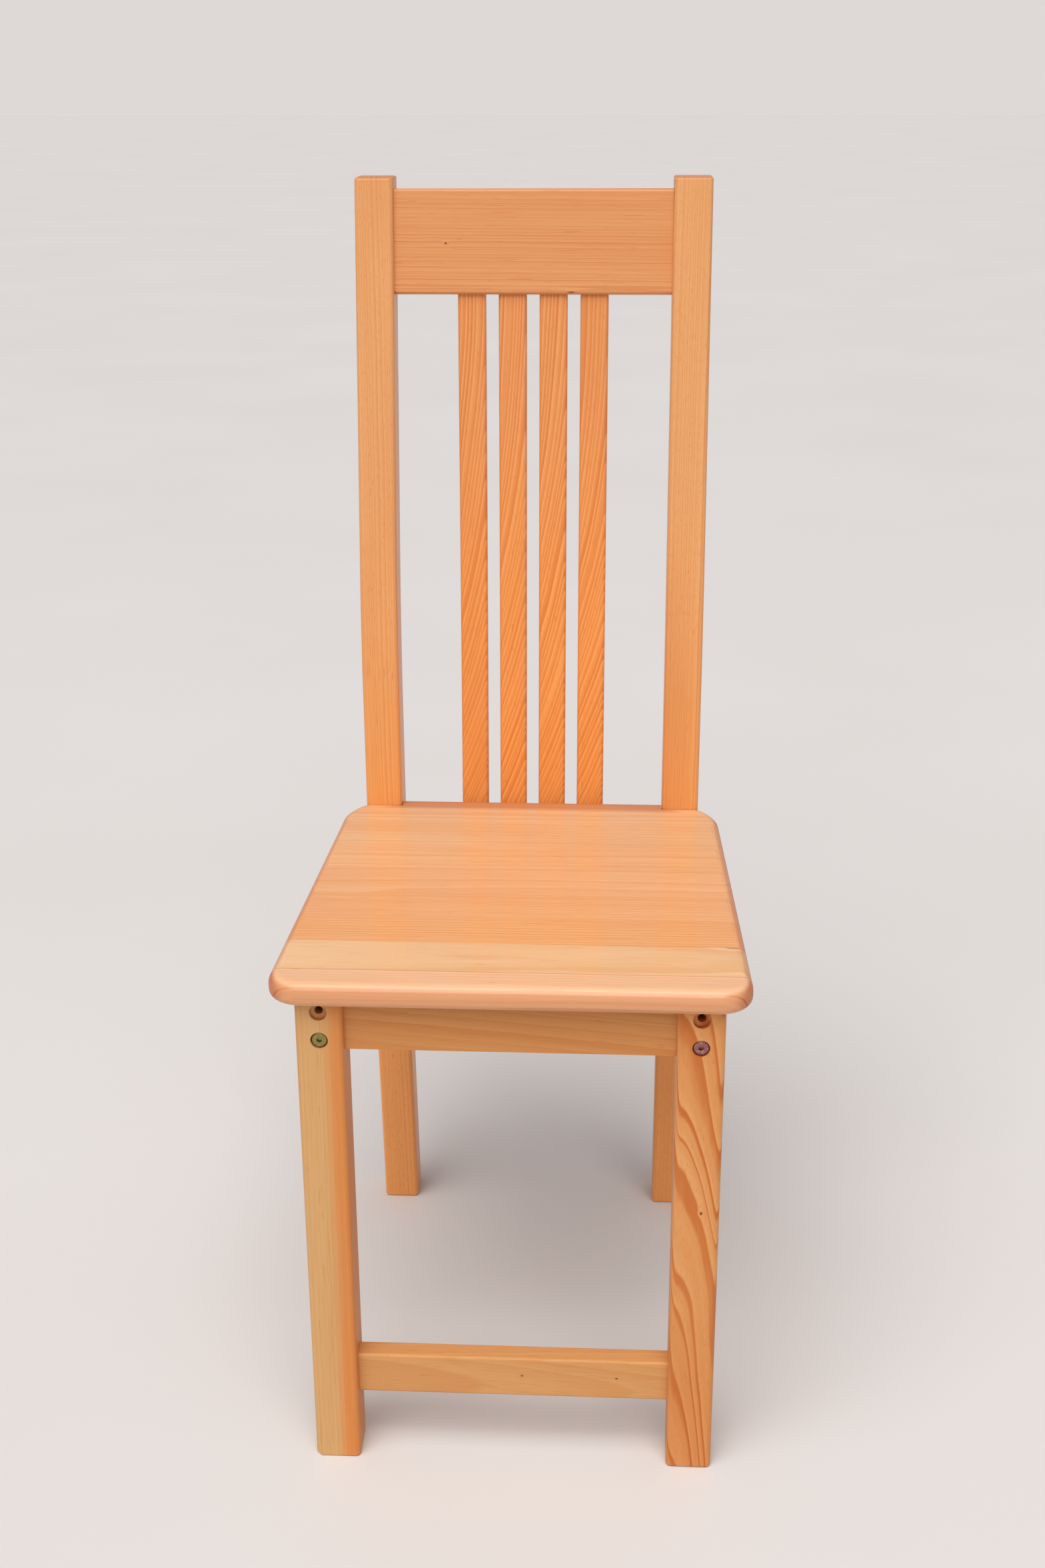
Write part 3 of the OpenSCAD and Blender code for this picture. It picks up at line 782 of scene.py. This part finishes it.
def plated(name):
    """Zinc-plated steel under a yellow film."""
    f = Finish(name, metallic=1.0)
    place = f.add("ShaderNodeTexCoord", output="Object")
    drift = f.noise(place, (90, 90, 90), 2.0)
    side = f.axis(place, "X")
    film = f.mix(linear(GREEN_GOLD), linear(VIOLET), f.step(drift + side * 1.2, 0.42, 0.62))
    film = f.mix(film, linear(FLECK), f.step(f.noise(place, (400, 400, 400), 2.0), 0.55, 0.7) * 0.4)
    return f.wear(base_color=film, roughness=0.26 + f.noise(place, (700, 700, 700), 1.0) * 0.2)


steel = plated("plated_steel")
print("plated steel:", len(steel.node_tree.nodes), "nodes")

# %% [markdown]
# A bolt is a turned part, so half its outline is drawn once and spun round its axis. The outline is a
# list of (distance along the axis, radius) points. A true helix for the thread would cost many faces
# inside a hole, so the thread is a row of small ridges, one for each turn of pitch. The hexagon socket
# is carved out of the head at the end.

# %% Turned parts
THREAD_DEPTH, SOCKET_RADIUS, SOCKET_DEPTH = 0.55 * MM, 2.31 * MM, 2.4 * MM


def turned(outline, steps=32):
    """A solid of revolution round +Z from (height, radius) points that start and end on the axis."""
    form = bmesh.new()
    chain = [form.verts.new((radius, 0, height)) for height, radius in outline]
    edges = [form.edges.new(pair) for pair in zip(chain, chain[1:])]
    bmesh.ops.spin(form, geom=chain + edges, cent=(0, 0, 0), axis=(0, 0, 1), angle=math.tau,
                   steps=steps, use_merge=True)
    bmesh.ops.remove_doubles(form, verts=form.verts[:], dist=0.001 * MM)
    bmesh.ops.recalc_face_normals(form, faces=form.faces[:])
    return form


def thread(start, end, pitch, outer, inner):
    """Ridges of a thread between two heights."""
    turns = int((end - start) / pitch)
    return [(start + (i + shift) * pitch, radius) for i in range(turns)
            for shift, radius in ((0.0, inner), (0.45, outer), (0.55, outer))]


def bolt_form(length, head_radius, head_height, radius):
    """A bolt along +Z with the seat of its head at height 0 and a hexagon socket in its domed head."""
    arc = [math.radians(angle) for angle in (90, 70, 50, 30, 10, 0)]
    outline = [(-head_height, 0)]
    outline += [(-head_height * (0.62 + 0.38 * math.sin(a)), head_radius * (0.80 + 0.20 * math.cos(a)))
                for a in arc]
    outline += [(0, head_radius), (0, radius)]
    outline += thread(length * 0.55, length - 1.5 * MM, 1.0 * MM, radius, radius - THREAD_DEPTH)
    outline += [(length - 1.2 * MM, radius - 0.3 * MM), (length, radius - 1.2 * MM), (length, 0)]
    socket = bmesh.new()
    bmesh.ops.create_cone(socket, cap_ends=True, segments=6, radius1=SOCKET_RADIUS, radius2=SOCKET_RADIUS,
                          depth=2 * SOCKET_DEPTH, matrix=Matrix.Translation((0, 0, -head_height)))
    return carve(turned(outline), socket)


print("a hexagon socket reaches", round(SOCKET_RADIUS / MM, 2), "mm from its middle to a corner")

# %% [markdown]
# Each pair of bolts stands for one CAD node. Their places could be typed in, but the node's box gives
# them: the outer edge of a head, its height, and how far the bolt reaches. The front bolts point back
# and the rear ones forward.

# %% Make the bolts
HEAD_RADIUS, HEAD_HEIGHT, BOLT_RADIUS = 6.5 * MM, 3.6 * MM, 3.0 * MM


def joined(forms):
    """Several forms as one."""
    whole = bmesh.new()
    for form in forms:
        mesh = bpy.data.meshes.new("part")
        form.to_mesh(mesh)
        form.free()
        whole.from_mesh(mesh)
        bpy.data.meshes.remove(mesh)
    return whole


for node, back in (("front_bolts", False), ("rear_bolts", True)):
    lo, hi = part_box(node)
    length = hi[1] - lo[1] - HEAD_HEIGHT
    seat = hi[1] - HEAD_HEIGHT if back else lo[1] + HEAD_HEIGHT
    pair = []
    for side in (-1, 1):
        form = bolt_form(length, HEAD_RADIUS, HEAD_HEIGHT, BOLT_RADIUS)
        turn = Matrix.Rotation(math.radians(90 if back else -90), 4, "X")
        place = Matrix.Translation((side * (hi[0] - HEAD_RADIUS), seat, (lo[2] + hi[2]) / 2))
        bmesh.ops.transform(form, matrix=place @ turn, verts=form.verts[:])
        pair.append(form)
    hand_over(node + "_turned", joined(pair), node, steel, Y)

# %% [markdown]
# The seat screws are turned too, with a coarse wood thread and a cross recess. There are six in one CAD
# node. Its box can't tell where each one is, but its vertices can: a screw's axis is the middle of each
# loose shell.

# %% Make the seat screws
SCREW_HEAD, SCREW_RADIUS, SCREW_PITCH = 3 * MM, 2.2 * MM, 2 * MM
SLOT_WIDTH, SLOT_FLOOR = 0.8 * MM, -0.8 * MM


def shells(node):
    """The lowest and highest corners of each separate solid in a CAD node."""
    form = timber(node)
    left, found = set(form.verts), []
    while left:
        shell, wave = set(), {left.pop()}
        while wave:
            shell |= wave
            wave = {e.other_vert(v) for v in wave for e in v.link_edges} - shell
        left -= shell
        found.append((Vector(map(min, *(v.co for v in shell))), Vector(map(max, *(v.co for v in shell)))))
    form.free()
    return sorted(found, key=lambda pair: (round(pair[0].x, 3), round(pair[0].y, 3)))


def screw_form(length, head_radius, head_height, radius):
    """A wood screw along +Z with the seat of its head at height 0."""
    outline = [(-head_height, 0), (-head_height, head_radius * 0.7), (-head_height * 0.6, head_radius),
               (0, head_radius), (0, radius * 0.8)]
    outline += thread(length * 0.3, length - 4 * MM, SCREW_PITCH, radius, radius * 0.68)
    outline += [(length, 0)]
    form = turned(outline, 24)
    for turn in (0, 90):
        slot = block((-head_radius * 0.6, -SLOT_WIDTH / 2, -head_height - MM),
                     (head_radius * 0.6, SLOT_WIDTH / 2, SLOT_FLOOR))
        quarter = Matrix.Rotation(math.radians(turn), 3, "Z")
        bmesh.ops.rotate(slot, cent=(0, 0, 0), matrix=quarter, verts=slot.verts[:])
        form = carve(form, slot)
    return form


screws = []
for low, high in shells("seat_screws"):
    form = screw_form(high.z - low.z - SCREW_HEAD, (high.x - low.x) / 2, SCREW_HEAD, SCREW_RADIUS)
    seat = ((low.x + high.x) / 2, (low.y + high.y) / 2, low.z + SCREW_HEAD)
    bmesh.ops.translate(form, vec=seat, verts=form.verts[:])
    screws.append(form)
hand_over("seat_screws_turned", joined(screws), "seat_screws", steel, Z)

# %% [markdown]
# ## The dowels
# A dowel is fluted so that the glue can escape, and its ends are chamfered. A cylinder would do, as the
# dowels are out of sight, but the flutes cost only two lines: every other point is pulled in.
# Three extrusions give the first chamfer, the length and the second chamfer.

# %% Make the dowels
FLUTES, FLUTE_DEPTH = 20, 0.07  # how many, and their share of the radius
CHAMFER, TIP = 1.2 * MM, 0.8  # the chamfer's length, and the tip's share of the radius

dowels = []
for low, high in shells("rear_dowels"):
    radius, length = (high.x - low.x) / 2, high.y - low.y
    form = bmesh.new()
    bmesh.ops.create_circle(form, cap_ends=True, segments=2 * FLUTES, radius=radius * TIP)
    stages = ((CHAMFER, 1 / TIP), (length - 2 * CHAMFER, 1.0), (CHAMFER, TIP))
    for stage, (depth, growth) in enumerate(stages):
        top = max(form.faces, key=lambda face: face.calc_center_median().z)
        moved = bmesh.ops.extrude_face_region(form, geom=[top])
        if stage > 0:
            form.faces.remove(top)  # it would stay inside the dowel as a wall
        rim = [v for v in moved["geom"] if isinstance(v, bmesh.types.BMVert)]
        bmesh.ops.translate(form, vec=(0, 0, depth), verts=rim)
        bmesh.ops.scale(form, vec=(growth, growth, 1), verts=rim)
    grooves = [v for v in form.verts if round(math.atan2(v.co.y, v.co.x) / math.tau * 2 * FLUTES) % 2]
    bmesh.ops.scale(form, vec=(1 - FLUTE_DEPTH, 1 - FLUTE_DEPTH, 1), verts=grooves)
    bmesh.ops.recalc_face_normals(form, faces=form.faces[:])
    place = Matrix.Translation(((low.x + high.x) / 2, low.y, (low.z + high.z) / 2))
    turn = Matrix.Rotation(math.radians(-90), 4, "X")
    bmesh.ops.transform(form, matrix=place @ turn, verts=form.verts[:])
    dowels.append(form)
beech = pine("beech_dowel", log=(0, 0, 0.3), turn=(-90, 0, 0), ring=0.0012, tone="#DDBD8C",
             contrast=0.5, bend=1, seed=40)
hand_over("rear_dowels_fluted", joined(dowels), "rear_dowels", beech, Y)

# %% [markdown]
# ## The barrel nuts
# A barrel nut is a short steel cylinder with a cross hole for the bolt and a turning slot. The CAD has
# all of that, and its edges are hidden in the aprons, so the nuts stay as they are and only take the
# plated finish.

# %% Dress the barrel nuts
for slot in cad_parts["barrel_nuts"].material_slots:
    slot.material = steel
print("barrel nuts plated")

# %% [markdown]
# ## The floor
# One large pale plane, wide enough that its edge is far away. It is a stage, not a piece of the chair,
# so a single grid does, matt enough not to mirror the legs.

# %% Lay the floor
FLOOR_REACH = 30


def floor_finish():
    """A pale matt floor with the faintest unevenness."""
    f = Finish("floor", specular_ior_level=0.25)
    place = f.add("ShaderNodeTexCoord", output="Object")
    haze = f.noise(place, (1.5, 1.5, 1.5), 2.0)
    return f.wear(base_color=f.mix(linear("#D9D6D4"), linear("#DEDCDB"), haze), roughness=0.55 + haze * 0.1)


ground = bmesh.new()
bmesh.ops.create_grid(ground, x_segments=4, y_segments=4, size=FLOOR_REACH)
mesh = bpy.data.meshes.new("floor")
ground.to_mesh(mesh)
ground.free()
mesh.materials.append(floor_finish())
floor = bpy.data.objects.new("floor", mesh)
bpy.context.scene.collection.objects.link(floor)
print("floor:", [round(side) for side in floor.dimensions[:2]], "metres")

# %% [markdown]
# The visual chair has to stay inside the CAD chair's box.
